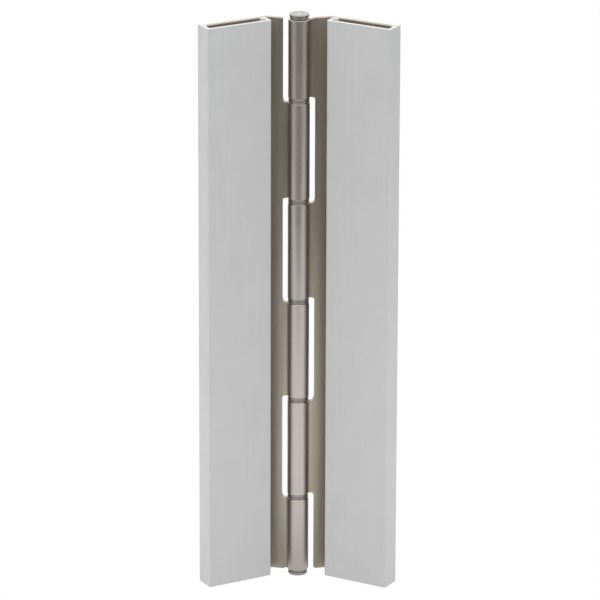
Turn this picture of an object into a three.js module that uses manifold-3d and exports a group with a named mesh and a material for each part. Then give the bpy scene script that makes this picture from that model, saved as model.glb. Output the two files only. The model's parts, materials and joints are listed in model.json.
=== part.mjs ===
// Covered piano hinge: two folded steel leaves on one long pin, each leaf under a clip-on aluminium
// cover. Millimetres, +Z up along the pin. The frame leaf's back face lies in the plane Y = 0 and the
// origin is at the middle of that face. The door leaf stands at its rest opening angle.

import * as THREE from 'three';
import { mergeVertices } from 'three/addons/utils/BufferGeometryUtils.js';
import Module from 'manifold-3d';

const wasm = await Module();
wasm.setup();

// ---------------------------------------------------------------- driving dimensions

const OPEN_ANGLE = 121;          // angle between the two leaves, front to front, at rest (degrees)

const COVER_LENGTH = 280;
const LEAF_LENGTH = 278.5;
const BARREL_LENGTH = 277.5;     // over the outer faces of the first and last knuckles

const KNUCKLE_COUNT = 6;         // numbered from the top; odd ones belong to the door leaf
const KNUCKLE_PITCH = 50;
const PITCH_SHIFT = -0.8;        // the stock is cut a little off the middle of its knuckle pattern
const KNUCKLE_GAP = 2.4;         // holds two bush flanges
const KNUCKLE_RADIUS = 5.2;
const BORE_RADIUS = 3.2;
const SEAM_GAP = 0.3;            // slit where the rolled end of a knuckle meets its web

const SHEET = 2;                 // leaf sheet thickness
const WEB_ANGLE = 43;            // the web runs back from the barrel at this angle to the plate
const WEB_FRONT = 2;             // front surface of the web, measured from the pin axis
const ROOT_FILLET = 1.5;         // behind the web, where it runs into the rolled knuckle
const BACK_DEPTH = 10.75;        // pin axis to the back face of the plate
const BEND_INNER_RADIUS = 2;
const PLATE_EDGE = 46.9;         // pin axis to the free edge of the plate
const NOTCH_REACH = 7.75;        // the notch opposite a knuckle is cut this far along the web
const NOTCH_CORNER = 2;
const END_TRIM = 5.7;            // the end knuckles are trimmed back this far from the pin axis

const COVER_INNER = 14.8;        // pin axis to the cover's edge beside the barrel
const COVER_OUTER = 48.8;        // pin axis to the cover's outer side face
const COVER_DEPTH = 10.5;
const COVER_WALL = 1.6;
const COVER_CORNER = 0.8;
const INNER_WALL_DEPTH = 6.2;
const LIP_REACH = 3.2;           // return lip at the rear of the inner wall, measured over the wall
const RIB_REACH = 1.2;           // retaining rib inside the outer wall
const RIB_FRONT = 6.2;
const RIB_THICKNESS = 1;

const PIN_RADIUS = 2.6;
const PIN_HALF_LENGTH = 139.9;
const SPIGOT_RADIUS = 1.3;       // pin end that is peened in the cap
const SPIGOT_HALF_LENGTH = 141.3;
const BUSH_INNER_RADIUS = 2.7;
const BUSH_OUTER_RADIUS = 3.1;
const BUSH_LENGTH = 8;
const FLANGE_RADIUS = 5;
const END_FLANGE_RADIUS = 4.35;  // under the pin caps, which overhang it
const FLANGE_THICKNESS = 1;
const FLANGE_CLEARANCE = 0.1;
const CAP_RADIUS = 4.7;
const CAP_HOLE_RADIUS = 1.5;
const CAP_INNER_FACE = 139.98;
const CAP_OUTER_FACE = 141.5;
const CAP_BEVEL = 0.35;

const HOLE_LINE = 30;            // pin axis to the row of mounting holes, clips and rivets
const HOLE_RADIUS = 2.6;
const COUNTERSINK_RADIUS = 4.6;
const HOLE_HEIGHTS = [-125, -75, -25, 25, 75, 125];
const CLIP_HEIGHTS = [-100, -50, 50, 100];
const CLIP_WIDTH = 16;
const CLIP_STRIP = 1;
const CLIP_GAP = 0.3;            // clear of the plate, the lip and the rib
const RIVET_RADIUS = 1.5;
const RIVET_HEAD_RADIUS = 3;
const RIVET_HEAD_HEIGHT = 1;
const RIVET_HEAD_BEVEL = 0.4;
const RIVET_CLEARANCE = 0.3;

const KNUCKLE_SEGMENTS = 32;
const PIN_SEGMENTS = 24;
const HOLE_SEGMENTS = 16;
const CORNER_SEGMENTS = 6;
const EDGE_SEGMENTS = 4;
const CUT_PAST = 10;             // how far a cutter runs past what it cuts
const HOLE_PAST = 0.5;           // the same for the cutter of a hole

const SIDE = { frame: -1, door: 1 };
const PIN_AXIS = new THREE.Vector2(HOLE_LINE, -BACK_DEPTH);
const WEB = THREE.MathUtils.degToRad(WEB_ANGLE);
const FULL_TURN = 2 * Math.PI;

// ---------------------------------------------------------------- materials

function metal(color, roughness, metalness) {
  return new THREE.MeshStandardMaterial({ color, roughness, metalness });
}

const steel = () => metal(0x8c857d, 0.38, 1);
const pinSteel = () => metal(0xa9a7a3, 0.3, 1);
const bushMetal = () => metal(0x767c80, 0.45, 0.9);
const aluminium = () => metal(0xb9babb, 0.48, 0.85);
const springSteel = () => metal(0x6f7173, 0.4, 1);

// ---------------------------------------------------------------- solids

function toManifold(geometry) {
  const bare = geometry.index ? geometry.toNonIndexed() : geometry.clone();
  bare.deleteAttribute('normal');
  bare.deleteAttribute('uv');
  const merged = mergeVertices(bare, 1e-4);
  return new wasm.Manifold(new wasm.Mesh({
    numProp: 3,
    vertProperties: new Float32Array(merged.attributes.position.array),
    triVerts: new Uint32Array(merged.index.array),
  }));
}

function toGeometry(solid) {
  const mesh = solid.getMesh();
  const geometry = new THREE.BufferGeometry();
  geometry.setAttribute('position', new THREE.BufferAttribute(new Float32Array(mesh.vertProperties), 3));
  geometry.setIndex(new THREE.BufferAttribute(new Uint32Array(mesh.triVerts), 1));
  geometry.computeVertexNormals();
  return geometry;
}

function without(geometry, cutters) {
  let solid = toManifold(geometry);
  for (const cutter of cutters) solid = solid.subtract(toManifold(cutter));
  return toGeometry(solid);
}

// A prism whose section is drawn in the XY plane and which is centred on a height.
function prism(points, length, height = 0) {
  const shape = new THREE.Shape(points);
  const geometry = new THREE.ExtrudeGeometry(shape, { depth: length, bevelEnabled: false });
  return geometry.translate(0, 0, height - length / 2);
}

// A turned piece about Z from (radius, height) pairs; it closes on the axis or on itself.
function turned(profile, segments = PIN_SEGMENTS) {
  const points = profile.map(([radius, height]) => new THREE.Vector2(radius, height));
  return new THREE.LatheGeometry(points, segments).rotateX(Math.PI / 2);
}

function arc(centreX, centreY, radius, from, to, steps) {
  const points = [];
  for (let i = 0; i <= steps; i += 1) {
    const angle = from + ((to - from) * i) / steps;
    points.push(new THREE.Vector2(centreX + radius * Math.cos(angle), centreY + radius * Math.sin(angle)));
  }
  return points;
}

// A section drawn in leaf coordinates (u out from the pin, w towards the front) placed on either
// side of the pin with both fronts towards -Y.
function onSide(points, side) {
  return points.map(({ x: u, y: w }) => new THREE.Vector2(side * u, -w));
}

// ---------------------------------------------------------------- knuckle layout

// Top and bottom height of knuckle k, counted 1 to 6 from the top.
function knuckleSpan(k) {
  const joint = (j) => (KNUCKLE_COUNT / 2 - j) * KNUCKLE_PITCH + PITCH_SHIFT;
  const top = k === 1 ? BARREL_LENGTH / 2 : joint(k - 1) - KNUCKLE_GAP / 2;
  const bottom = k === KNUCKLE_COUNT ? -BARREL_LENGTH / 2 : joint(k) + KNUCKLE_GAP / 2;
  return { top, bottom };
}

const sideOfKnuckle = (k) => (k % 2 === 1 ? 'door' : 'frame');
const knuckles = Array.from({ length: KNUCKLE_COUNT }, (_, i) => i + 1);

// ---------------------------------------------------------------- leaves

// A point given along the web (s) and off it towards the front (o), in leaf coordinates.
function fromWeb(s, o) {
  const u = s * Math.cos(WEB) + o * Math.sin(WEB);
  const w = -s * Math.sin(WEB) + o * Math.cos(WEB);
  return new THREE.Vector2(u, w);
}

// Rolled knuckle, web, bend and plate as one strip outline with the seam left open.
function leafSection() {
  const webBack = WEB_FRONT - SHEET;
  const seam = WEB_FRONT + SEAM_GAP;
  const angleAt = (o, radius) => Math.asin(o / radius) - WEB;

  const outerStart = angleAt(seam, KNUCKLE_RADIUS);
  const filletReach = KNUCKLE_RADIUS + ROOT_FILLET;
  const filletOffset = webBack - ROOT_FILLET;
  const filletS = Math.sqrt(filletReach ** 2 - filletOffset ** 2);
  const filletAngle = Math.atan2(filletOffset, filletS) - WEB;
  const fillet = fromWeb(filletS, filletOffset);
  const knuckle = arc(0, 0, KNUCKLE_RADIUS, outerStart, filletAngle + FULL_TURN, KNUCKLE_SEGMENTS);
  const rootEnd = Math.PI / 2 - WEB;
  const root = arc(fillet.x, fillet.y, ROOT_FILLET, filletAngle + Math.PI, rootEnd, CORNER_SEGMENTS);

  const bendOuterRadius = BEND_INNER_RADIUS + SHEET;
  const frontFace = SHEET - BACK_DEPTH;
  const centreW = frontFace + BEND_INNER_RADIUS;
  const centreS = (-centreW + (WEB_FRONT + BEND_INNER_RADIUS) * Math.cos(WEB)) / Math.sin(WEB);
  const bend = fromWeb(centreS, WEB_FRONT + BEND_INNER_RADIUS);
  const webNormal = 1.5 * Math.PI - WEB;
  const bendBack = arc(bend.x, bend.y, bendOuterRadius, webNormal, 1.5 * Math.PI, CORNER_SEGMENTS);
  const bendFront = arc(bend.x, bend.y, BEND_INNER_RADIUS, 1.5 * Math.PI, webNormal, CORNER_SEGMENTS);

  const innerStart = angleAt(WEB_FRONT, BORE_RADIUS) + FULL_TURN;
  const innerEnd = angleAt(seam, BORE_RADIUS);
  const bore = arc(0, 0, BORE_RADIUS, innerStart, innerEnd, KNUCKLE_SEGMENTS);

  return [
    ...knuckle,
    ...root.slice(1),
    ...bendBack,
    new THREE.Vector2(PLATE_EDGE, -BACK_DEPTH),
    new THREE.Vector2(PLATE_EDGE, frontFace),
    ...bendFront,
    ...bore,
  ];
}

// Cutter for the space opposite a knuckle of the other leaf: a slab across the web whose two inner
// corners are round. It runs past the leaf's end at the first and last knuckle.
function notchCutter(k, side) {
  const top = k === 1 ? LEAF_LENGTH / 2 + CUT_PAST : knuckleSpan(k - 1).bottom;
  const bottom = k === KNUCKLE_COUNT ? -LEAF_LENGTH / 2 - CUT_PAST : knuckleSpan(k + 1).top;
  const r = NOTCH_CORNER;
  const outline = [
    new THREE.Vector2(-CUT_PAST, bottom),
    ...arc(NOTCH_REACH - r, bottom + r, r, -Math.PI / 2, 0, CORNER_SEGMENTS),
    ...arc(NOTCH_REACH - r, top - r, r, 0, Math.PI / 2, CORNER_SEGMENTS),
    new THREE.Vector2(-CUT_PAST, top),
  ];
  const depth = 2 * CUT_PAST;
  const slab = new THREE.ExtrudeGeometry(new THREE.Shape(outline), { depth, bevelEnabled: false });
  slab.translate(0, 0, -depth / 2);
  slab.rotateX(Math.PI / 2);
  return slab.rotateZ(side < 0 ? Math.PI - WEB : WEB);
}

// Trims the rolled ends of the first and last knuckle back from the ends of the web and plate.
function endTrimmers(side) {
  const section = [
    new THREE.Vector2(-END_TRIM, -END_TRIM),
    new THREE.Vector2(END_TRIM, -END_TRIM),
    new THREE.Vector2(END_TRIM, END_TRIM),
    new THREE.Vector2(-END_TRIM, END_TRIM),
  ];
  const height = (BARREL_LENGTH + CUT_PAST) / 2;
  return [prism(section, CUT_PAST, height), prism(section, CUT_PAST, -height)]
    .map((block) => block.rotateZ(side < 0 ? Math.PI - WEB : WEB));
}

// Mounting hole, countersunk from the front; its axis is the leaf's normal.
function mountingHole(side, height) {
  const over = HOLE_PAST;
  const seat = COUNTERSINK_RADIUS - HOLE_RADIUS;
  const hole = turned([
    [0, -over],
    [HOLE_RADIUS, -over],
    [HOLE_RADIUS, SHEET - seat + over],
    [COUNTERSINK_RADIUS + over, SHEET + over],
    [0, SHEET + over],
  ], HOLE_SEGMENTS);
  return standOnPlate(hole, side, height);
}

// Rivet hole, opened at the back so that the formed end stays flush.
function rivetHole(side, height) {
  const over = HOLE_PAST;
  const radius = RIVET_RADIUS + RIVET_CLEARANCE;
  const backRadius = RIVET_HEAD_RADIUS + RIVET_CLEARANCE;
  const hole = turned([
    [0, -over],
    [backRadius, -over],
    [backRadius, 0],
    [radius, backRadius - radius],
    [radius, SHEET + over],
    [0, SHEET + over],
  ], HOLE_SEGMENTS);
  return standOnPlate(hole, side, height);
}

// Takes a turned piece from its own Z axis to the plate: its base on the back face, pointing forward.
function standOnPlate(geometry, side, height) {
  return geometry.rotateX(Math.PI / 2).translate(side * HOLE_LINE, BACK_DEPTH, height);
}

function leaf(sideName) {
  const side = SIDE[sideName];
  const strip = prism(onSide(leafSection(), side), LEAF_LENGTH);
  const opposite = knuckles.filter((k) => sideOfKnuckle(k) !== sideName);
  return without(strip, [
    ...opposite.map((k) => notchCutter(k, side)),
    ...endTrimmers(side),
    ...HOLE_HEIGHTS.map((height) => mountingHole(side, height)),
    ...CLIP_HEIGHTS.map((height) => rivetHole(side, height)),
  ]);
}

// ---------------------------------------------------------------- covers

function coverSection() {
  const r = COVER_CORNER;
  const quarter = Math.PI / 2;
  const innerFace = COVER_INNER + COVER_WALL;
  const outerFace = COVER_OUTER - COVER_WALL;
  const point = (u, w) => new THREE.Vector2(u, w);
  return [
    point(COVER_INNER + LIP_REACH, -INNER_WALL_DEPTH),
    ...arc(COVER_INNER + r, r - INNER_WALL_DEPTH, r, -quarter, -2 * quarter, EDGE_SEGMENTS),
    ...arc(COVER_INNER + r, -r, r, 2 * quarter, quarter, EDGE_SEGMENTS),
    ...arc(COVER_OUTER - r, -r, r, quarter, 0, EDGE_SEGMENTS),
    point(COVER_OUTER, -COVER_DEPTH),
    point(outerFace, -COVER_DEPTH),
    point(outerFace, -RIB_FRONT - RIB_THICKNESS),
    point(outerFace - RIB_REACH, -RIB_FRONT - RIB_THICKNESS),
    point(outerFace - RIB_REACH, -RIB_FRONT),
    point(outerFace, -RIB_FRONT),
    point(outerFace, -COVER_WALL),
    point(innerFace, -COVER_WALL),
    point(innerFace, COVER_WALL - INNER_WALL_DEPTH),
    point(COVER_INNER + LIP_REACH, COVER_WALL - INNER_WALL_DEPTH),
  ];
}

// ---------------------------------------------------------------- cover clips and their rivets

// A strip bent up at both ends: one end hooks over the cover's lip, the other over its rib.
function clipSection() {
  const point = (u, w) => new THREE.Vector2(u, w);
  const base = SHEET - BACK_DEPTH + CLIP_GAP;
  const lipFront = COVER_WALL - INNER_WALL_DEPTH;
  const lipEnd = COVER_INNER + LIP_REACH;
  const ribEnd = COVER_OUTER - COVER_WALL - RIB_REACH;
  const innerArm = lipEnd + CLIP_GAP;
  const outerArm = ribEnd - CLIP_GAP;
  const lipHook = lipFront + CLIP_GAP;
  const ribHook = -RIB_FRONT + CLIP_GAP;
  return [
    point(innerArm, base),
    point(outerArm, base),
    point(outerArm, ribHook),
    point(ribEnd + RIB_REACH - CLIP_GAP, ribHook),
    point(ribEnd + RIB_REACH - CLIP_GAP, ribHook + CLIP_STRIP),
    point(outerArm - CLIP_STRIP, ribHook + CLIP_STRIP),
    point(outerArm - CLIP_STRIP, base + CLIP_STRIP),
    point(innerArm + CLIP_STRIP, base + CLIP_STRIP),
    point(innerArm + CLIP_STRIP, lipHook + CLIP_STRIP),
    point(lipEnd - LIP_REACH + COVER_WALL + CLIP_GAP, lipHook + CLIP_STRIP),
    point(lipEnd - LIP_REACH + COVER_WALL + CLIP_GAP, lipHook),
    point(innerArm, lipHook),
  ];
}

function clip(side, height) {
  const strip = prism(onSide(clipSection(), side), CLIP_WIDTH, height);
  const radius = RIVET_RADIUS + RIVET_CLEARANCE;
  const reach = 2 * SHEET;
  const hole = turned([[0, 0], [radius, 0], [radius, reach], [0, reach]], HOLE_SEGMENTS);
  return without(strip, [standOnPlate(hole, side, height)]);
}

function rivet(side, height) {
  const seat = SHEET + CLIP_GAP + CLIP_STRIP + CLIP_GAP;
  const flare = RIVET_HEAD_RADIUS - RIVET_RADIUS;
  const body = turned([
    [0, 0],
    [RIVET_HEAD_RADIUS, 0],
    [RIVET_RADIUS, flare],
    [RIVET_RADIUS, seat],
    [RIVET_HEAD_RADIUS, seat],
    [RIVET_HEAD_RADIUS - RIVET_HEAD_BEVEL, seat + RIVET_HEAD_HEIGHT - RIVET_HEAD_BEVEL],
    [RIVET_HEAD_RADIUS / 2, seat + RIVET_HEAD_HEIGHT],
    [0, seat + RIVET_HEAD_HEIGHT],
  ], HOLE_SEGMENTS);
  return standOnPlate(body, side, height);
}

// ---------------------------------------------------------------- pin, bushes and caps

function pin() {
  return turned([
    [0, -SPIGOT_HALF_LENGTH],
    [SPIGOT_RADIUS, -SPIGOT_HALF_LENGTH],
    [SPIGOT_RADIUS, -PIN_HALF_LENGTH],
    [PIN_RADIUS, -PIN_HALF_LENGTH],
    [PIN_RADIUS, PIN_HALF_LENGTH],
    [SPIGOT_RADIUS, PIN_HALF_LENGTH],
    [SPIGOT_RADIUS, SPIGOT_HALF_LENGTH],
    [0, SPIGOT_HALF_LENGTH],
  ]);
}

// Flanged bush with its sleeve inside the knuckle; end is +1 at a knuckle's top and -1 at its bottom.
function bush(knuckleEnd, end) {
  const flangeRadius = Math.abs(knuckleEnd) < BARREL_LENGTH / 2 ? FLANGE_RADIUS : END_FLANGE_RADIUS;
  const flangeFoot = knuckleEnd + end * FLANGE_CLEARANCE;
  const flangeFace = flangeFoot + end * FLANGE_THICKNESS;
  const sleeveEnd = flangeFace - end * BUSH_LENGTH;
  const profile = [
    [BUSH_INNER_RADIUS, sleeveEnd],
    [BUSH_OUTER_RADIUS, sleeveEnd],
    [BUSH_OUTER_RADIUS, flangeFoot],
    [flangeRadius, flangeFoot],
    [flangeRadius, flangeFace],
    [BUSH_INNER_RADIUS, flangeFace],
    [BUSH_INNER_RADIUS, sleeveEnd],
  ];
  return turned(end > 0 ? profile : profile.reverse());
}

function cap(end) {
  const profile = [
    [CAP_HOLE_RADIUS, end * CAP_INNER_FACE],
    [CAP_RADIUS, end * CAP_INNER_FACE],
    [CAP_RADIUS, end * (CAP_OUTER_FACE - CAP_BEVEL)],
    [CAP_RADIUS - CAP_BEVEL, end * CAP_OUTER_FACE],
    [CAP_HOLE_RADIUS, end * CAP_OUTER_FACE],
    [CAP_HOLE_RADIUS, end * CAP_INNER_FACE],
  ];
  return turned(end > 0 ? profile : profile.reverse());
}

// ---------------------------------------------------------------- assembly

function add(group, name, geometry, material) {
  const mesh = new THREE.Mesh(geometry, material);
  mesh.name = name;
  group.add(mesh);
}

function halfHinge(sideName) {
  const side = SIDE[sideName];
  const group = new THREE.Group();
  add(group, `${sideName}_leaf`, leaf(sideName), steel());
  add(group, `${sideName}_cover`, prism(onSide(coverSection(), side), COVER_LENGTH), aluminium());
  CLIP_HEIGHTS.forEach((height, i) => {
    const number = CLIP_HEIGHTS.length - i;
    add(group, `${sideName}_clip_${number}`, clip(side, height), springSteel());
    add(group, `${sideName}_clip_rivet_${number}`, rivet(side, height), pinSteel());
  });
  for (const k of knuckles.filter((number) => sideOfKnuckle(number) === sideName)) {
    const { top, bottom } = knuckleSpan(k);
    add(group, `bush_${k}_top`, bush(top, 1), bushMetal());
    add(group, `bush_${k}_bottom`, bush(bottom, -1), bushMetal());
  }
  return group;
}

const hinge = new THREE.Group();

const frameHalf = halfHinge('frame');
frameHalf.position.set(PIN_AXIS.x, PIN_AXIS.y, 0);
add(frameHalf, 'hinge_pin', pin(), pinSteel());
add(frameHalf, 'top_pin_cap', cap(1), pinSteel());
add(frameHalf, 'bottom_pin_cap', cap(-1), pinSteel());

const doorHalf = halfHinge('door');
doorHalf.position.copy(frameHalf.position);
doorHalf.rotation.z = THREE.MathUtils.degToRad(OPEN_ANGLE - 180);

hinge.add(frameHalf, doorHalf);

export default hinge;
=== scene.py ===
import json
import math

import bmesh
import bpy
from mathutils import Matrix, Vector
from mathutils.geometry import delaunay_2d_cdt


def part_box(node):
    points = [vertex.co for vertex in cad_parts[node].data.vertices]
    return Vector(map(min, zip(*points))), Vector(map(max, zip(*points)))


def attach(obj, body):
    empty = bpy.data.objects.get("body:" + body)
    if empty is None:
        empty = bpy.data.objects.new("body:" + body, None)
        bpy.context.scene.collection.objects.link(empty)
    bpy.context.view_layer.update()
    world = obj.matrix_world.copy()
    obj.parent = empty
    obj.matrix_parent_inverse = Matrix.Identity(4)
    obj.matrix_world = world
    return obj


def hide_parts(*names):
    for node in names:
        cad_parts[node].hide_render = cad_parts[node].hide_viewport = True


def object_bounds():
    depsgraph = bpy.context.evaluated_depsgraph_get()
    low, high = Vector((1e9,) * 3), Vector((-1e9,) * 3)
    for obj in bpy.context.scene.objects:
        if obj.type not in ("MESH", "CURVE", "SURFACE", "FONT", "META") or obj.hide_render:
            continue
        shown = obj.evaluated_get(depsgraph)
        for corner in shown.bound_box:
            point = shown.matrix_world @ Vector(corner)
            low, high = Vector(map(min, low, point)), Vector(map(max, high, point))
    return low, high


# The finished look of a covered piano hinge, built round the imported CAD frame. Sections are drawn in
# millimetres, in leaf coordinates: u out from the pin, w towards the front, z up along the pin.

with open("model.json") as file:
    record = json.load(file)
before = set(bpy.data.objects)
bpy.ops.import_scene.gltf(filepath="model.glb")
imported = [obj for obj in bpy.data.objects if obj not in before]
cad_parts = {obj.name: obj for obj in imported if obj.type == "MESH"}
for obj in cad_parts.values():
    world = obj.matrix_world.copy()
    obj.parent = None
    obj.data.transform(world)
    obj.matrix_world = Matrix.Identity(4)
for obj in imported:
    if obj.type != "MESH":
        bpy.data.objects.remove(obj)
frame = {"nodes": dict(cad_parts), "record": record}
CAD_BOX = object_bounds()

MM = 0.001
SIDES = {"frame": -1, "door": 1}
KNUCKLE_COUNT = 6

# ---------------------------------------------------------------- sizes in millimetres

SHEET = 2.0
WEB_ANGLE = 43.0
WEB_MIDDLE = 1.0            # middle of the web's thickness, off the pin axis
BACK_DEPTH = 10.75          # pin axis to the back of the plate
BEND_RADIUS = 3.0           # middle of the sheet, where the plate bends up into the web
ROOT_RADIUS = 2.5           # middle of the sheet, where the web turns into the roll
ROLL_RADIUS = 4.2           # middle of the sheet, round the pin
ROLL_END = 20.5             # where the rolled end stops short of the web, in degrees from the web
PLATE_EDGE = 46.9
NOTCH_REACH = 7.75          # the notches stop this far along the web from the pin axis
NOTCH_CORNER = 1.9
LEAF_CORNER = 0.8
TAB_CORNER = 0.4
LEAF_BEVEL = 0.22
END_RELIEF = 6.6            # the end knuckles are trimmed back up to here along the web

HOLE_LINE = 30.0
HOLE_PITCH = 50.0
HOLE_COUNT = 6
HOLE_RADIUS = 2.6
HOLE_LAND = 0.5             # straight part of a countersunk hole, at the back
HOLE_FLARE = 1.25
RIVET_HOLE_RADIUS = 1.8
RIVET_HOLE_LAND = 1.5       # the flare at the back of a rivet hole is this deep

COVER_INNER = 14.8
COVER_OUTER = 48.8
COVER_DEPTH = 10.5
COVER_WALL = 1.6
COVER_CORNER = 0.82
COVER_INSIDE_CORNER = 0.4
COVER_WALL_EDGE = 0.3
COVER_BEVEL = 0.15          # round its cut ends
INNER_WALL_DEPTH = 6.2
LIP_REACH = 3.2
LIP_EDGE = 0.35
RIB_REACH = 1.2
RIB_FRONT = 6.2
RIB_THICKNESS = 1.0
RIB_EDGE = 0.25
RIB_ROOT = 0.15

CLIP_STRIP = 1.0
CLIP_GAP = 0.3
CLIP_BEND = 0.8
CLIP_WIDTH = 16.0
CLIP_CORNER = 0.6
CLIP_BEVEL = 0.12
RIVET_RADIUS = 1.5
RIVET_HEAD_RADIUS = 3.0
RIVET_HEAD_HEIGHT = 1.0
RIVET_EDGE = 0.15
RIVET_ROOT = 0.3            # where the flush end flares out of the shank
HEAD_TAPER = 0.1
DOME_SHOULDER = (0.45, 0.35, 0.6)   # in from the head's rim, down from its top, and its radius
CROWN_DROP = 0.03           # the crown is this far under the head's top
CROWN_RADIUS = 1.5

PIN_RADIUS = 2.6
SPIGOT_RADIUS = 1.3         # the pin's ends, inside the caps
SHOULDER_DROP = 0.1         # the lower shoulder is sunk this far into the bottom cap
SHOULDER_EDGE = 0.02
DIMPLE_DEPTH = 0.25
DIMPLE_FLOOR_RADIUS = 0.45
DIMPLE_MOUTH_RADIUS = 0.75
DIMPLE_EDGE = 0.3
BUSH_INNER_RADIUS = 2.7
BUSH_OUTER_RADIUS = 3.1
FLANGE_RADIUS = 5.0
END_FLANGE_RADIUS = 4.35    # under the pin caps, which overhang it
FLANGE_FACE_EDGE = 0.03     # where two flanges meet
FLANGE_FOOT_EDGE = 0.3      # against the knuckle
FLANGE_THICKNESS = 1.0
FLANGE_CLEARANCE = 0.1
CAP_RADIUS = 4.7
CAP_HOLE_RADIUS = 1.4
CAP_BEVEL = (0.45, 0.4)     # how wide and how deep
CAP_RIM_EDGE = 0.25         # at the bevel's foot
CAP_TOP_EDGE = 0.35         # at its top
GROOVE_WIDTH = 0.5
GROOVE_DEPTH = 0.25

ARC_STEP = 6.0              # degrees between the lines across a bend
RIM_STEPS = 3
FINE_EDGE = 0.05            # corner radii of the turned pieces
SOFT_EDGE = 0.1
TURNED_EDGE = 0.2
TURNED_CORNER_STEPS = 4
TURN_SEGMENTS = 72
HOLE_SEGMENTS = 48
RIVET_HOLE_SEGMENTS = 32
SHARP_ANGLE = 40.0          # an edge between faces that turn by more than this is drawn sharp
SAME = 1e-4                 # lengths closer than this are the same
CORNER_REACH = 0.05         # a crossing this near a corner of an outline uses the corner

# ---------------------------------------------------------------- places taken from the frame


def middle(node):
    low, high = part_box(node)
    return (low + high) / 2


def heights(node):
    """Lowest and highest point of a CAD node, in millimetres."""
    low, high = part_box(node)
    return low.z / MM, high.z / MM


def knuckle_span(k):
    """Bottom and top of knuckle k, which its two bush flanges sit just clear of."""
    flange = FLANGE_THICKNESS + FLANGE_CLEARANCE
    return heights(f"bush_{k}_bottom")[0] + flange, heights(f"bush_{k}_top")[1] - flange


def side_of_knuckle(k):
    return "door" if k % 2 else "frame"


PIN_AXIS = Vector((middle("hinge_pin").x, middle("hinge_pin").y, 0))
BACK_OF = {m["name"].split("_")[0]: Vector(m["axis"]) for m in frame["record"]["mounts"]}


def leaf_matrix(side):
    """Takes leaf coordinates in millimetres to the row frame in metres."""
    back = BACK_OF[side].normalized()
    out = back.cross(Vector((0, 0, 1))) * SIDES[side]
    turn = Matrix((out, -back, Vector((0, 0, 1)))).transposed().to_4x4()
    return Matrix.Translation(PIN_AXIS) @ turn @ Matrix.Scale(MM, 4)


PIN_MATRIX = Matrix.Translation(PIN_AXIS) @ Matrix.Scale(MM, 4)

# ---------------------------------------------------------------- outlines


def rounded(corners, steps=5):
    """A closed outline from (x, y, radius) corners, each radius drawn as an arc."""
    outline = []
    count = len(corners)
    for i, (x, y, radius) in enumerate(corners):
        here = Vector((x, y))
        before = Vector(corners[i - 1][:2]) - here
        after = Vector(corners[(i + 1) % count][:2]) - here
        if radius <= 0:
            outline.append(here)
            continue
        before.normalize()
        after.normalize()
        half = before.angle(after) / 2
        centre = here + (before + after).normalized() * (radius / math.sin(half))
        start = here + before * (radius / math.tan(half)) - centre
        end = here + after * (radius / math.tan(half)) - centre
        sweep = math.atan2(start.x * end.y - start.y * end.x, start.dot(end))
        for step in range(steps + 1):
            angle = math.atan2(start.y, start.x) + sweep * step / steps
            outline.append(centre + Vector((math.cos(angle), math.sin(angle))) * radius)
    return outline


def circle(x, y, radius, steps, clockwise=False):
    turn = -1 if clockwise else 1
    angles = (turn * 2 * math.pi * i / steps for i in range(steps))
    return [Vector((x + radius * math.cos(a), y + radius * math.sin(a))) for a in angles]


def inset(outline, distance):
    """The outline moved to its left, which is into the material, by a distance."""
    moved = []
    count = len(outline)
    for i, here in enumerate(outline):
        into = (here - outline[i - 1]).normalized()
        out = (outline[(i + 1) % count] - here).normalized()
        left_in = Vector((-into.y, into.x))
        left_out = Vector((-out.y, out.x))
        moved.append(here + (left_in + left_out) * (distance / (1 + left_in.dot(left_out))))
    return moved


def split_at(outline, lines):
    """The outline with a point wherever it crosses one of the lines x = constant, and the creases, which
    are the pairs of points, by index, that a line joins through the material. A crossing next to a
    corner of the outline uses that corner."""
    split = []
    crossings = {x: [] for x in lines}
    for i, here in enumerate(outline):
        after = outline[(i + 1) % len(outline)]
        split.append(here)
        at_here = len(split) - 1
        for x in sorted(lines, reverse=after.x < here.x):
            if (here.x <= x) == (after.x <= x):
                continue
            point = here.lerp(after, (x - here.x) / (after.x - here.x))
            if (point - here).length < CORNER_REACH:
                crossings[x].append((point.y, at_here))
            elif (after - point).length < CORNER_REACH:
                crossings[x].append((point.y, len(split) if i + 1 < len(outline) else 0))
            else:
                crossings[x].append((point.y, len(split)))
                split.append(point)
    creases = []
    for met in crossings.values():
        met.sort()
        creases += [(low[1], high[1]) for low, high in zip(met[::2], met[1::2])]
    return split, creases


def rim(bevel):
    """(inset, depth, worn) steps round a rim, from the face to the wall. Worn is 1 on the rim itself."""
    steps = []
    for i in range(RIM_STEPS + 1):
        angle = math.pi / 2 * i / RIM_STEPS
        worn = 0.0 if i in (0, RIM_STEPS) else 1.0
        steps.append((bevel * (1 - math.sin(angle)), bevel * (1 - math.cos(angle)), worn))
    return steps


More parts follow.
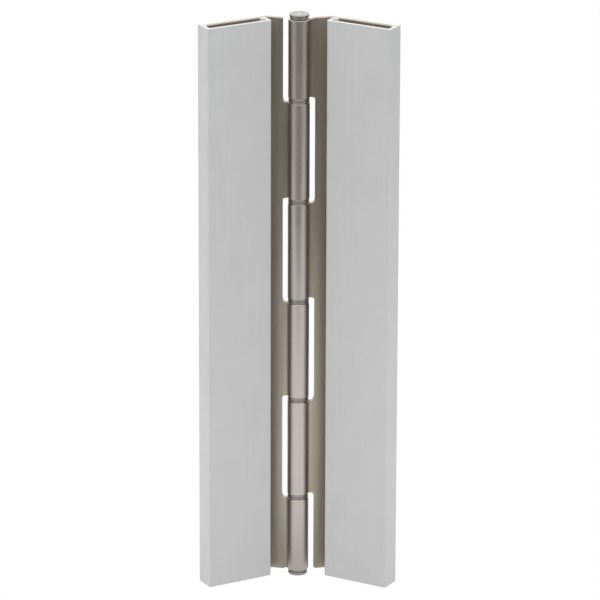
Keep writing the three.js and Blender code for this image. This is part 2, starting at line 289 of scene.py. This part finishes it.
class Path:
    """A line of straights and arcs in leaf coordinates, followed by its length."""

    def __init__(self, start, heading, moves):
        self.pieces = []
        self.length = 0.0
        point, angle = Vector(start), math.radians(heading)
        for kind, size, *turn in moves:
            turned = math.radians(turn[0]) if kind == "bend" else 0.0
            length = size * abs(turned) if kind == "bend" else size
            self.pieces.append((self.length, length, point, angle, turned))
            self.length += length
            point, angle = self._along(self.pieces[-1], length)

    @staticmethod
    def _along(piece, distance):
        _, length, point, angle, turned = piece
        if not turned:
            return point + Vector((math.cos(angle), math.sin(angle))) * distance, angle
        radius = length / turned
        here = angle + distance / radius
        left = Vector((-math.sin(angle), math.cos(angle)))
        centre = point + left * radius
        return centre - Vector((-math.sin(here), math.cos(here))) * radius, here

    def at(self, t):
        """The point at length t and the unit normal on the right-hand side."""
        piece = max((p for p in self.pieces if p[0] <= t + SAME), key=lambda p: p[0])
        point, angle = self._along(piece, t - piece[0])
        return point, Vector((math.sin(angle), -math.cos(angle)))

    def lines(self):
        """Lengths at which the bends are divided."""
        found = []
        for start, length, _, _, turned in self.pieces:
            if turned:
                steps = math.ceil(abs(math.degrees(turned)) / ARC_STEP)
                found += [start + length * i / steps for i in range(steps + 1)]
        return sorted(set(round(x, 6) for x in found))


# ---------------------------------------------------------------- meshes


def new_object(name, data):
    made = bpy.data.objects.new(name, data)
    bpy.context.scene.collection.objects.link(made)
    return made


class Body:
    """A closed mesh under construction. Each vertex can be worn, as on a rim, or left in its mill
    finish, whose darker colour is partly painted shade."""

    def __init__(self):
        self.bm = bmesh.new()
        self.worn = self.bm.verts.layers.float.new("worn")
        # Marks sheet in its mill finish, whose darker colour is partly painted shade.
        self.mill_and_shade = self.bm.verts.layers.float.new("mill_and_shade")

    def ring(self, points, worn=0.0):
        verts = [self.bm.verts.new(p) for p in points]
        for vert in verts:
            vert[self.worn] = worn
        return verts

    def bridge(self, first, second):
        count = len(first)
        for i in range(count):
            j = (i + 1) % count
            self.bm.faces.new((first[i], first[j], second[j], second[i]))

    def close(self, rings, outlines, creases):
        """Fills the face between rings, divided along creases, which are pairs of points by index."""
        flat = [p for outline in outlines for p in outline]
        verts = [v for ring in rings for v in ring]
        owner, edges = [], list(creases)
        for index, outline in enumerate(outlines):
            first, count = len(owner), len(outline)
            owner += [index] * count
            edges += [(first + i, first + (i + 1) % count) for i in range(count)]
        _, _, faces, sources, _, _ = delaunay_2d_cdt(flat, edges, [], 4, SAME / 10)
        for face in faces:
            corners = [sources[i][0] for i in face]
            rings_met = {owner[i] for i in corners}
            if rings_met == {0} or len(rings_met) > 1:
                self.bm.faces.new([verts[i] for i in corners])

    def finish(self, name, matrix):
        """The object, in the row frame, with its faces pointing out."""
        bmesh.ops.transform(self.bm, matrix=matrix, verts=self.bm.verts)
        bmesh.ops.recalc_face_normals(self.bm, faces=self.bm.faces)
        mesh = bpy.data.meshes.new(name)
        self.bm.to_mesh(mesh)
        self.bm.free()
        mesh.shade_smooth()
        mesh.set_sharp_from_angle(angle=math.radians(SHARP_ANGLE))
        piece = new_object(name, mesh)
        weighted = piece.modifiers.new("weighted", "WEIGHTED_NORMAL")
        weighted.keep_sharp = True
        return piece


def turned_body(profile):
    """A body turned about z from a closed (radius, height) outline that may touch the axis."""
    body = Body()
    rings = []
    for radius, height in profile:
        if radius < SAME:
            rings.append(body.ring([(0, 0, height)]) * TURN_SEGMENTS)
        else:
            ring = circle(0, 0, radius, TURN_SEGMENTS)
            rings.append(body.ring([(p.x, p.y, height) for p in ring]))
    for first, second in zip(rings, rings[1:] + rings[:1]):
        for i in range(TURN_SEGMENTS):
            j = (i + 1) % TURN_SEGMENTS
            corners = list(dict.fromkeys((first[i], first[j], second[j], second[i])))
            if len(corners) > 2:
                body.bm.faces.new(corners)
    return body


def drawn_body(section, bottom, top, bevel):
    """A section drawn out along z, with a rounded rim at both ends."""
    body = Body()
    levels = [(cut, bottom + depth, worn) for cut, depth, worn in rim(bevel)]
    levels += [(cut, top - depth, worn) for cut, depth, worn in reversed(rim(bevel))]
    outlines = [inset(section, cut) for cut, _, _ in levels]
    rings = []
    for outline, (_, height, worn) in zip(outlines, levels):
        rings.append(body.ring([(p.x, p.y, height) for p in outline], worn))
    for first, second in zip(rings, rings[1:]):
        body.bridge(first, second)
    body.bm.faces.new(rings[0])
    body.bm.faces.new(rings[-1])
    return body


def straight_cut(height):
    """The flare of a hole or an edge that is cut square."""
    return 0.0


def bent_body(path, outline, holes, thickness, bevel, lands=(), mill_and_shade_until=0.0):
    """A sheet cut flat on (length, z) and bent along a path. A hole is (outline, flare), where flare
    gives how much wider it is at a height over the back face. Lands are heights with a step of flare.
    The sheet keeps its mill finish, darker partly as painted shade, up to the length
    mill_and_shade_until."""
    body = Body()
    lines = path.lines()
    half = thickness / 2
    edge, creases = split_at(outline, lines)
    loops = [(edge, straight_cut)] + holes
    levels = [(cut, half - depth, worn) for cut, depth, worn in rim(bevel)]
    levels += [(0.0, land - half, 0.0) for land in sorted(lands, reverse=True)]
    levels += [(cut, depth - half, worn) for cut, depth, worn in reversed(rim(bevel))]

    def bent(points, offset):
        for p in points:
            at, normal = path.at(p.x)
            spot = at + normal * offset
            yield (spot.x, spot.y, p.y)

    flats, rings = [], []
    for cut, offset, worn in levels:
        flat = [inset(points, cut + flare(offset + half)) for points, flare in loops]
        flats.append(flat)
        rings.append([body.ring(bent(points, offset), worn) for points in flat])
        for points, ring in zip(flat, rings[-1]):
            for point, vert in zip(points, ring):
                # Sheet short of the given length gets the darker mill colour, which is partly painted
                # shade.
                vert[body.mill_and_shade] = float(point.x < mill_and_shade_until)
    for first, second in zip(rings, rings[1:]):
        for near, far in zip(first, second):
            body.bridge(near, far)
    for end in (0, -1):
        body.close(rings[end], flats[end], creases)
    return body


# ---------------------------------------------------------------- materials

# Patterns of noise, in turns to the millimetre across the grain and along it.
GRAIN_LENGTH = 60           # a grain line is this many times as long as it is wide
STREAKS = (0.35, 0.012)
SCRATCHES = (1.1, 0.09)
HEAT_TINTS = (0.3, 0.015)
PATCHES = 0.06
# How much they show, at a grain or smudge of 1.
GRAIN_TONE = 0.10
STREAK_TONE = 0.06
PATCH_DARKER = 0.05
PATCH_LIGHTER = 0.03
GRAIN_ROUGHNESS = 0.05
PATCH_SMOOTHER = 0.05
PATCH_ROUGHER = 0.07
GRAIN_BUMP = 0.12
BUMP_HEIGHT = 0.05          # millimetres
# Rims that hands have rubbed.
WORN_LIGHTER = 1.08
WORN_SMOOTHER = 0.08
# How sheet in its mill finish compares with the dressed barrel: darker and browner, partly as painted
# shade of the groove beside the barrel and of the cover's hollow.
MILL_AND_SHADE_DARKER = (0.76, 0.715, 0.645)
MILL_ROUGHER = 0.03
# How far its heat tints go either side of its colour.
MILL_TINT = 0.06


class Nodes:
    """A short way to write a shader's nodes and links."""

    def __init__(self, tree):
        self.tree = tree
        tree.nodes.clear()

    def add(self, kind, inputs=None, **settings):
        node = self.tree.nodes.new(kind)
        for key, value in settings.items():
            setattr(node, key, value)
        for key, value in (inputs or {}).items():
            if isinstance(value, bpy.types.NodeSocket):
                self.tree.links.new(value, node.inputs[key])
            else:
                node.inputs[key].default_value = value
        return node

    def ramp(self, fac, low, high, dark, light):
        """Fac from low to high, mapped to dark to light."""
        inputs = {"Value": fac, 1: low, 2: high, 3: dark, 4: light}
        return self.add("ShaderNodeMapRange", inputs).outputs[0]

    def stops(self, fac, levels):
        """A smooth curve of grey levels, given as (place from 0 to 1, level) pairs."""
        node = self.add("ShaderNodeValToRGB", {"Fac": fac})
        ramp = node.color_ramp
        ramp.interpolation = "EASE"
        for place, level in levels[1:-1]:
            ramp.elements.new(place).color = (level, level, level, 1)
        for end, (place, level) in ((0, levels[0]), (-1, levels[-1])):
            ramp.elements[end].position = place
            ramp.elements[end].color = (level, level, level, 1)
        return node.outputs["Color"]

    def math(self, operation, first, second):
        return self.add("ShaderNodeMath", {0: first, 1: second}, operation=operation).outputs[0]

    def dot(self, first, second):
        inputs = {0: first, 1: second}
        return self.add("ShaderNodeVectorMath", inputs, operation="DOT_PRODUCT").outputs["Value"]

    def scaled(self, vector, factor):
        inputs = {0: vector, "Scale": factor}
        return self.add("ShaderNodeVectorMath", inputs, operation="SCALE").outputs[0]

    def noise(self, vector, scale, detail=4.0, roughness=0.5):
        inputs = {"Vector": vector, "Scale": scale, "Detail": detail, "Roughness": roughness}
        return self.add("ShaderNodeTexNoise", inputs).outputs[0]


def new_material(name):
    """An empty material and its nodes."""
    material = bpy.data.materials.new(name)
    material.use_nodes = True
    return material, Nodes(material.node_tree)


def grained_metal(name, colour, roughness, metallic, grain, smudge, lines_across, brushed):
    """Metal with a grain drawn out along z, patches of handling, short scratches and brighter rims.
    grain and smudge are how strong they are; lines_across is how many grain lines go in a millimetre.
    brushed spreads reflections across the grain. Where the mesh has its mill finish, the metal is
    darker and browner, partly as painted shade, with faint heat tints."""
    material, nodes = new_material(name)
    place = nodes.add("ShaderNodeTexCoord").outputs["Object"]

    def stretched(across, along):
        inputs = {"Vector": place, "Scale": (across / MM, across / MM, along / MM)}
        return nodes.add("ShaderNodeMapping", inputs).outputs[0]

    fine = nodes.noise(stretched(lines_across, lines_across / GRAIN_LENGTH), 1.0, 3.0, 0.6)
    broad = nodes.noise(stretched(*STREAKS), 1.0, 2.0)
    patch = nodes.noise(place, PATCHES / MM, 4.0, 0.62)
    scratched = nodes.ramp(nodes.noise(stretched(*SCRATCHES), 1.0, 1.0), 0.70, 0.74, 0.0, 1.0)
    heat = nodes.noise(stretched(*HEAT_TINTS), 1.0, 2.0)
    worn = nodes.add("ShaderNodeAttribute", attribute_name="worn").outputs["Fac"]
    mill_and_shade = nodes.add("ShaderNodeAttribute", attribute_name="mill_and_shade").outputs["Fac"]

    tone = nodes.ramp(fine, 0.3, 0.7, 1 - GRAIN_TONE * grain, 1 + GRAIN_TONE * grain)
    for pattern, low, high, dark, light in (
            (broad, 0.3, 0.7, 1 - STREAK_TONE * grain, 1 + STREAK_TONE * grain),
            (patch, 0.35, 0.65, 1 - PATCH_DARKER * smudge, 1 + PATCH_LIGHTER * smudge),
            (worn, 0.0, 1.0, 1.0, WORN_LIGHTER)):
        tone = nodes.math("MULTIPLY", tone, nodes.ramp(pattern, low, high, dark, light))
    dressed = nodes.scaled(colour, tone)
    tint = nodes.ramp(heat, 0.35, 0.65, 1 - MILL_TINT, 1 + MILL_TINT)
    # Mill-finish sheet is made darker and browner, partly as painted shade of the hollows it lies in.
    raw_and_shaded = nodes.add("ShaderNodeVectorMath", {0: nodes.scaled(dressed, tint), 1: MILL_AND_SHADE_DARKER},
                    operation="MULTIPLY").outputs[0]
    shade = nodes.add("ShaderNodeMix", {0: mill_and_shade, 6: dressed, 7: raw_and_shaded}, data_type="RGBA")

    smooth, dull = roughness - PATCH_SMOOTHER * smudge, roughness + PATCH_ROUGHER * smudge
    rough = nodes.ramp(patch, 0.35, 0.7, smooth, dull)
    for pattern, low, high, less, more in (
            (fine, 0.3, 0.7, -GRAIN_ROUGHNESS * grain, GRAIN_ROUGHNESS * grain),
            (worn, 0.0, 1.0, 0.0, -WORN_SMOOTHER),
            (mill_and_shade, 0.0, 1.0, 0.0, MILL_ROUGHER)):
        rough = nodes.math("ADD", rough, nodes.ramp(pattern, low, high, less, more))

    ridges = nodes.math("MULTIPLY", fine, 0.6)
    height = nodes.math("SUBTRACT", ridges, nodes.math("MULTIPLY", scratched, 0.15))
    bump = nodes.add("ShaderNodeBump", {
        "Height": height,
        "Strength": GRAIN_BUMP * grain,
        "Distance": BUMP_HEIGHT * MM,
    })
    surface = nodes.add("ShaderNodeBsdfPrincipled", {
        "Base Color": shade.outputs[2],
        "Metallic": metallic,
        "Roughness": rough,
        "Anisotropic": brushed,
        "Normal": bump.outputs[0],
    })
    nodes.add("ShaderNodeOutputMaterial", {"Surface": surface.outputs[0]})
    return material


# Each slot's colour, roughness, metallic, grain, smudge, lines across and brushed.
FINISHES = {
    "leaf_steel": ((0.62, 0.58, 0.54), 0.30, 1.0, 0.3, 0.35, 1.6, 0.6),
    "cover_aluminium": ((0.70, 0.705, 0.705), 0.5, 0.35, 0.12, 0.4, 1.2, 0.0),
    "pin_steel": ((0.62, 0.61, 0.59), 0.25, 1.0, 0.5, 0.6, 2.0, 0.0),
    "cap_steel": ((0.40, 0.398, 0.39), 0.28, 1.0, 0.2, 0.4, 2.0, 0.0),
    "bush_alloy": ((0.39, 0.378, 0.36), 0.38, 0.9, 0.5, 1.0, 2.0, 0.0),
    "spring_steel": ((0.32, 0.33, 0.35), 0.34, 1.0, 0.5, 0.8, 1.5, 0.0),
    "rivet_steel": ((0.58, 0.57, 0.56), 0.3, 1.0, 0.3, 0.8, 2.0, 0.0),
}
LOOKS = {slot: grained_metal(slot, *finish) for slot, finish in FINISHES.items()}


def install(body, name, matrix, rides_on, slot, node):
    piece = body.finish(name, matrix)
    piece.data.materials.append(LOOKS[slot])
    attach(piece, rides_on)
    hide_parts(node)


# ---------------------------------------------------------------- leaves


def leaf_path():
    """Middle of the leaf's sheet, from the plate's free edge to the end of the roll, and a function that
    gives the length along it where the web is at a reach from the pin axis."""
    web = math.radians(WEB_ANGLE)
    plate_middle = SHEET / 2 - BACK_DEPTH
    corner_s = (WEB_MIDDLE * math.cos(web) - plate_middle) / math.sin(web)
    corner_u = corner_s * math.cos(web) + WEB_MIDDLE * math.sin(web)
    bend_run = BEND_RADIUS * math.tan(web / 2)
    root_offset = ROOT_RADIUS - WEB_MIDDLE
    root_reach = ROLL_RADIUS + ROOT_RADIUS
    root_s = math.sqrt(root_reach ** 2 - root_offset ** 2)
    root_turn = math.degrees(math.acos(root_offset / root_reach))
    roll_turn = 360 - ROLL_END - (90 - root_turn)
    path = Path((PLATE_EDGE, plate_middle), 180, [
        ("straight", PLATE_EDGE - corner_u - bend_run),
        ("bend", BEND_RADIUS, -WEB_ANGLE),
        ("straight", corner_s - bend_run - root_s),
        ("bend", ROOT_RADIUS, root_turn),
        ("bend", ROLL_RADIUS, -roll_turn),
    ])
    root_start = path.pieces[3][0]

    def at_reach(reach):
        return root_start - (reach - root_s)

    return path, at_reach


def leaf_outline(side, path, at_reach):
    """The leaf cut flat: a plate with one tab for each of its knuckles, from the bottom up."""
    bottom, top = heights(f"{side}_leaf")
    notch = at_reach(NOTCH_REACH)
    relief = at_reach(END_RELIEF)
    corners = [(0, bottom, LEAF_CORNER)]
    mine = [k for k in range(KNUCKLE_COUNT, 0, -1) if side_of_knuckle(k) == side]
    for k in mine:
        low, high = knuckle_span(k)
        below = [(notch, low, NOTCH_CORNER)]
        above = [(notch, high, NOTCH_CORNER)]
        if k == KNUCKLE_COUNT:
            below = [(relief, bottom, TAB_CORNER), (relief + low - bottom, low, TAB_CORNER)]
        elif k == mine[0]:
            below.insert(0, (notch, bottom, LEAF_CORNER))
        if k == 1:
            above = [(relief + top - high, high, TAB_CORNER), (relief, top, TAB_CORNER)]
        elif k == mine[-1]:
            above.append((notch, top, LEAF_CORNER))
        tab = [(path.length, low, TAB_CORNER), (path.length, high, TAB_CORNER)]
        corners += below + tab + above
    corners.append((0, top, LEAF_CORNER))
    return rounded(corners)


def leaf_holes(side):
    """Countersunk mounting holes and, between them, the rivet holes that flare to the back."""
    line = PLATE_EDGE - HOLE_LINE

    def countersink(height):
        return HOLE_FLARE * max(0.0, height - HOLE_LAND)

    def back_flare(height):
        return max(0.0, RIVET_HOLE_LAND - height)

    holes = []
    for i in range(HOLE_COUNT):
        height = (i - (HOLE_COUNT - 1) / 2) * HOLE_PITCH
        hole = circle(line, height, HOLE_RADIUS, HOLE_SEGMENTS, clockwise=True)
        holes.append((hole, countersink))
    for clip in clip_names(side):
        height = middle(clip).z / MM
        hole = circle(line, height, RIVET_HOLE_RADIUS, RIVET_HOLE_SEGMENTS, clockwise=True)
        holes.append((hole, back_flare))
    return holes


def clip_names(side):
    return [node for node in sorted(frame["nodes"]) if node.startswith(f"{side}_clip_")
            and "rivet" not in node]


def make_leaf(side):
    path, at_reach = leaf_path()
    roll_start = path.pieces[-1][0]
    # The sheet up to the roll takes the darker mill colour, which is partly painted shade.
    body = bent_body(path, leaf_outline(side, path, at_reach), leaf_holes(side), SHEET, LEAF_BEVEL,
                     (HOLE_LAND, RIVET_HOLE_LAND), roll_start)
    install(body, f"{side}_leaf_rolled", leaf_matrix(side), f"{side}_side", "leaf_steel",
            f"{side}_leaf")


# ---------------------------------------------------------------- covers


def make_cover(side):
    inner_face = COVER_INNER + COVER_WALL
    outer_face = COVER_OUTER - COVER_WALL
    lip_end = COVER_INNER + LIP_REACH
    rib_end = outer_face - RIB_REACH
    rib_back = RIB_FRONT + RIB_THICKNESS
    section = rounded([
        (lip_end, -INNER_WALL_DEPTH, LIP_EDGE),
        (lip_end, COVER_WALL - INNER_WALL_DEPTH, LIP_EDGE),
        (inner_face, COVER_WALL - INNER_WALL_DEPTH, COVER_WALL_EDGE),
        (inner_face, -COVER_WALL, COVER_INSIDE_CORNER),
        (outer_face, -COVER_WALL, COVER_INSIDE_CORNER),
        (outer_face, -RIB_FRONT, RIB_ROOT),
        (rib_end, -RIB_FRONT, RIB_EDGE),
        (rib_end, -rib_back, RIB_EDGE),
        (outer_face, -rib_back, RIB_ROOT),
        (outer_face, -COVER_DEPTH, COVER_WALL_EDGE),
        (COVER_OUTER, -COVER_DEPTH, COVER_WALL_EDGE),
        (COVER_OUTER, 0, COVER_CORNER),
        (COVER_INNER, 0, COVER_CORNER),
        (COVER_INNER, -INNER_WALL_DEPTH, COVER_CORNER),
    ])
    bottom, top = heights(f"{side}_cover")
    body = drawn_body(section, bottom, top, COVER_BEVEL)
    install(body, f"{side}_cover_extruded", leaf_matrix(side), f"{side}_side", "cover_aluminium",
            f"{side}_cover")


# ---------------------------------------------------------------- clips and rivets


def make_clip(side, node):
    """A spring strip whose ends hook over the cover's lip and rib."""
    half = CLIP_STRIP / 2
    base = SHEET - BACK_DEPTH + CLIP_GAP + half
    hook_in = COVER_WALL - INNER_WALL_DEPTH + CLIP_GAP + half
    hook_out = CLIP_GAP + half - RIB_FRONT
    arm_in = COVER_INNER + LIP_REACH + CLIP_GAP + half
    arm_out = COVER_OUTER - COVER_WALL - RIB_REACH - CLIP_GAP - half
    start = COVER_INNER + COVER_WALL + CLIP_GAP
    finish = COVER_OUTER - COVER_WALL - CLIP_GAP
    r = CLIP_BEND
    path = Path((start, hook_in), 0, [
        ("straight", arm_in - start - r),
        ("bend", r, -90),
        ("straight", hook_in - base - 2 * r),
        ("bend", r, 90),
        ("straight", arm_out - arm_in - 2 * r),
        ("bend", r, 90),
        ("straight", hook_out - base - 2 * r),
        ("bend", r, -90),
        ("straight", finish - arm_out - r),
    ])
    height = middle(node).z / MM
    low, high = height - CLIP_WIDTH / 2, height + CLIP_WIDTH / 2
    outline = rounded([
        (0, low, CLIP_CORNER), (path.length, low, CLIP_CORNER),
        (path.length, high, CLIP_CORNER), (0, high, CLIP_CORNER),
    ])
    hole_at = path.pieces[4][0] + HOLE_LINE - arm_in - r
    hole = circle(hole_at, height, RIVET_HOLE_RADIUS, RIVET_HOLE_SEGMENTS, clockwise=True)
    body = bent_body(path, outline, [(hole, straight_cut)], CLIP_STRIP, CLIP_BEVEL)
    install(body, f"{node}_bent", leaf_matrix(side), f"{side}_side", "spring_steel", node)


def rivet_profile():
    """A rivet from its flush formed end at the leaf's back to its domed head on the clip."""
    seat = SHEET + CLIP_GAP + CLIP_STRIP + CLIP_GAP
    flare = RIVET_HEAD_RADIUS - RIVET_RADIUS
    top = seat + RIVET_HEAD_HEIGHT
    shoulder_in, shoulder_drop, shoulder_radius = DOME_SHOULDER
    edge = rounded([
        (0, 0, 0),
        (RIVET_HEAD_RADIUS, 0, RIVET_EDGE),
        (RIVET_RADIUS, flare, RIVET_ROOT),
        (RIVET_RADIUS, seat, SOFT_EDGE),
        (RIVET_HEAD_RADIUS - HEAD_TAPER, seat, RIVET_EDGE),
        (RIVET_HEAD_RADIUS - shoulder_in, top - shoulder_drop, shoulder_radius),
        (RIVET_HEAD_RADIUS / 2, top - CROWN_DROP, CROWN_RADIUS),
        (0, top - CROWN_DROP, 0),
    ], TURNED_CORNER_STEPS)
    return [(p.x, p.y) for p in edge]


def make_rivet(side, node):
    height = middle(node).z / MM
    stand = Matrix.Translation((HOLE_LINE, -BACK_DEPTH, height)) @ Matrix.Rotation(-math.pi / 2, 4, "X")
    body = turned_body(rivet_profile())
    install(body, f"{node}_formed", leaf_matrix(side) @ stand, f"{side}_side", "rivet_steel", node)


# ---------------------------------------------------------------- pin, bushes and caps


def turned_piece(corners, name, rides_on, slot, node):
    """A turned piece about the pin axis from (radius, height, corner radius) corners."""
    profile = [(p.x, p.y) for p in rounded(corners, TURNED_CORNER_STEPS)]
    install(turned_body(profile), name, PIN_MATRIX, rides_on, slot, node)


def make_bush(k, end):
    """A flanged bush; end is 1 at the top of its knuckle and -1 at the bottom."""
    node = f"bush_{k}_{'top' if end > 0 else 'bottom'}"
    low, high = heights(node)
    face = high if end > 0 else low
    foot = face - end * FLANGE_THICKNESS
    inner = low if end > 0 else high
    under_cap = (k, end) in ((1, 1), (KNUCKLE_COUNT, -1))
    flange = END_FLANGE_RADIUS if under_cap else FLANGE_RADIUS
    turned_piece([
        (BUSH_INNER_RADIUS, inner, FINE_EDGE),
        (BUSH_OUTER_RADIUS, inner, SOFT_EDGE),
        (BUSH_OUTER_RADIUS, foot, FINE_EDGE),
        (flange, foot, FLANGE_FOOT_EDGE),
        (flange, face, FLANGE_FACE_EDGE),
        (BUSH_INNER_RADIUS, face, SOFT_EDGE),
    ], f"{node}_turned", f"{side_of_knuckle(k)}_side", "bush_alloy", node)


def make_pin():
    bottom, top = heights("hinge_pin")
    foot, head = heights("bottom_pin_cap")[1], heights("top_pin_cap")[0]
    shoulder = foot - SHOULDER_DROP
    turned_piece([
        (0, bottom + DIMPLE_DEPTH, 0),
        (DIMPLE_FLOOR_RADIUS, bottom + DIMPLE_DEPTH, DIMPLE_EDGE),
        (DIMPLE_MOUTH_RADIUS, bottom, TURNED_EDGE),
        (SPIGOT_RADIUS, bottom, TURNED_EDGE),
        (SPIGOT_RADIUS, shoulder, 0),
        (PIN_RADIUS, shoulder + SHOULDER_EDGE, SHOULDER_EDGE),
        (PIN_RADIUS, head - SHOULDER_EDGE, SHOULDER_EDGE),
        (SPIGOT_RADIUS, head, 0),
        (SPIGOT_RADIUS, top, TURNED_EDGE),
        (DIMPLE_MOUTH_RADIUS, top, TURNED_EDGE),
        (DIMPLE_FLOOR_RADIUS, top - DIMPLE_DEPTH, DIMPLE_EDGE),
        (0, top - DIMPLE_DEPTH, 0),
    ], "hinge_pin_turned", "frame_side", "pin_steel", "hinge_pin")


def make_cap(node, end):
    """A turned cap with a bevelled rim and a shallow ring groove round the peened pin end."""
    low, high = heights(node)
    inner, outer = (low, high) if end > 0 else (high, low)
    bevel_width, bevel_depth = CAP_BEVEL
    turned_piece([
        (CAP_HOLE_RADIUS, inner, FINE_EDGE),
        (CAP_RADIUS, inner, TURNED_EDGE),
        (CAP_RADIUS, outer - end * bevel_depth, CAP_RIM_EDGE),
        (CAP_RADIUS - bevel_width, outer, CAP_TOP_EDGE),
        (CAP_HOLE_RADIUS + GROOVE_WIDTH, outer, TURNED_EDGE),
        (CAP_HOLE_RADIUS, outer - end * GROOVE_DEPTH, SOFT_EDGE),
    ], f"{node}_turned", "frame_side", "cap_steel", node)


# ---------------------------------------------------------------- build

for side in SIDES:
    make_leaf(side)
    make_cover(side)
    for node in clip_names(side):
        make_clip(side, node)
        make_rivet(side, node.replace("clip_", "clip_rivet_"))

for k in range(1, KNUCKLE_COUNT + 1):
    make_bush(k, 1)
    make_bush(k, -1)

make_pin()
make_cap("top_pin_cap", 1)
make_cap("bottom_pin_cap", -1)

# ---------------------------------------------------------------- camera

LENS_MM = 299.1
SENSOR_MM = 36.0
CAMERA_DISTANCE = 2.395
CAMERA_ELEVATION = 18.4
CAMERA_ROLL = 0.177
TARGET_RIGHT = 0.00077
TARGET_UP = -0.00106
SEEN_FROM = 0.05
SEEN_TO = 60.0

# The camera stands on the line that halves the angle between the two leaves.
toward = -(BACK_OF["frame"] + BACK_OF["door"]).normalized()


def camera_axes(elevation, roll):
    """Right, up and backward directions of a camera that looks down at the pin, and the level
    direction that right is rolled from."""
    elevation, roll = math.radians(elevation), math.radians(roll)
    backward = toward * math.cos(elevation) + Vector((0, 0, math.sin(elevation)))
    level = Vector((0, 0, 1)).cross(backward).normalized()
    right = level * math.cos(roll) + backward.cross(level) * math.sin(roll)
    return right, backward.cross(right), backward, level


def make_camera():
    right, up, backward, level = camera_axes(CAMERA_ELEVATION, CAMERA_ROLL)
    data = bpy.data.cameras.new("camera")
    data.lens = LENS_MM
    data.sensor_width = SENSOR_MM
    data.clip_start = SEEN_FROM
    data.clip_end = SEEN_TO
    camera = new_object("camera", data)
    target = PIN_AXIS + level * TARGET_RIGHT + Vector((0, 0, TARGET_UP))
    turn = Matrix((right, up, backward)).transposed().to_4x4()
    camera.matrix_world = Matrix.Translation(target + backward * CAMERA_DISTANCE) @ turn
    bpy.context.scene.camera = camera


make_camera()

# ---------------------------------------------------------------- floor, light and background

WHITE = (1, 1, 1)
FLOOR_DROP = 0.004          # the floor lies this far under the lowest point
FLOOR_SIZE = 12.0
BACKDROP_RADIUS = 10.0
TABLE_FRONT = 0.456         # the lit table ends this far in front of the pin
TABLE_BACK = 0.3
TABLE_SIDE = 1.2
TABLE_LIGHT = 0.9
TABLE_COLOUR = (1, 0.99, 0.98)
# Out to the first distance the table is only this bright, and from the second it is fully lit.
FOOT_SHADE = (0.02, 0.14, 0.66)
# Light of the walls by direction, in degrees round from the camera, right positive.
WALLS = ((-180, 0.15), (-165, 0.45), (-115, 0.75), (-75, 0.50), (-50, 0.38), (-28, 0.26), (0, 0.18),
         (28, 0.25), (50, 0.34), (75, 0.44), (115, 0.40), (150, 0.20), (180, 0.15))
WALL_LIGHT = [((angle + 180) / 360, level) for angle, level in WALLS]
CEILING_LIGHT = 1.3


def glow(name, colour, strength, shade=None):
    """A light of its own. Shade is (near, far, level): within near of its origin the light is level
    times its strength, and from far on it is at full strength."""
    material, nodes = new_material(name)
    if shade:
        near, far, level = shade
        place = nodes.add("ShaderNodeTexCoord").outputs["Object"]
        distance = nodes.add("ShaderNodeVectorMath", {0: place}, operation="LENGTH").outputs["Value"]
        strength = nodes.ramp(distance, near, far, level * strength, strength)
    light = nodes.add("ShaderNodeEmission", {"Color": (*colour, 1), "Strength": strength})
    nodes.add("ShaderNodeOutputMaterial", {"Surface": light.outputs[0]})
    return material


def plane(name, place, corners, material):
    mesh = bpy.data.meshes.new(name)
    mesh.from_pydata([tuple(c) for c in corners], [], [range(len(corners))])
    mesh.materials.append(material)
    sheet = new_object(name, mesh)
    sheet.location = place
    return sheet


def seen_by(piece, camera, reflections):
    piece.visible_camera = camera
    piece.visible_glossy = reflections
    piece.visible_diffuse = reflections
    piece.visible_shadow = False


def make_floor():
    """A white floor, and over it the white table top that the metal reflects, which ends in front."""
    across = Vector((0, 0, 1)).cross(toward)
    level = Vector((0, 0, CAD_BOX[0][2] - FLOOR_DROP))

    def corners(side, back, front):
        spots = ((-side, -back), (side, -back), (side, front), (-side, front))
        return [across * x + toward * y for x, y in spots]

    half = FLOOR_SIZE / 2
    floor = plane("floor", level, corners(half, half, half), glow("white_floor", WHITE, 1.0))
    seen_by(floor, True, False)
    lit = glow("white_table", TABLE_COLOUR, TABLE_LIGHT, FOOT_SHADE)
    top = plane("table_top", PIN_AXIS + level, corners(TABLE_SIDE, TABLE_BACK, TABLE_FRONT), lit)
    seen_by(top, False, True)
    top.visible_diffuse = False


def make_room():
    """A bright ceiling over walls whose light goes by the direction they lie in."""
    world = bpy.data.worlds.new("room")
    bpy.context.scene.world = world
    world.use_nodes = True
    nodes = Nodes(world.node_tree)
    direction = nodes.add("ShaderNodeTexCoord").outputs["Generated"]
    up = nodes.add("ShaderNodeSeparateXYZ", {0: direction}).outputs["Z"]
    right = nodes.dot(direction, Vector((0, 0, 1)).cross(toward))
    around = nodes.math("ARCTAN2", right, nodes.dot(direction, toward))
    walls = nodes.stops(nodes.ramp(around, -math.pi, math.pi, 0, 1), WALL_LIGHT)
    overhead = nodes.ramp(up, -0.05, 0.2, 0.0, 1.0)
    level = nodes.add("ShaderNodeMix", {0: overhead, 2: walls, 3: CEILING_LIGHT}).outputs[0]
    light = nodes.add("ShaderNodeBackground", {"Color": (1, 1, 1, 1), "Strength": level})
    nodes.add("ShaderNodeOutputWorld", {"Surface": light.outputs[0]})


def make_backdrop():
    """A white shell round everything, seen only by the camera."""
    mesh = bpy.data.meshes.new("backdrop")
    shell = bmesh.new()
    bmesh.ops.create_icosphere(shell, subdivisions=4, radius=BACKDROP_RADIUS)
    shell.to_mesh(mesh)
    shell.free()
    mesh.materials.append(glow("white_backdrop", WHITE, 1.0))
    backdrop = new_object("backdrop", mesh)
    seen_by(backdrop, True, False)


make_floor()
make_room()
make_backdrop()
bpy.context.scene.view_settings.view_transform = "Standard"
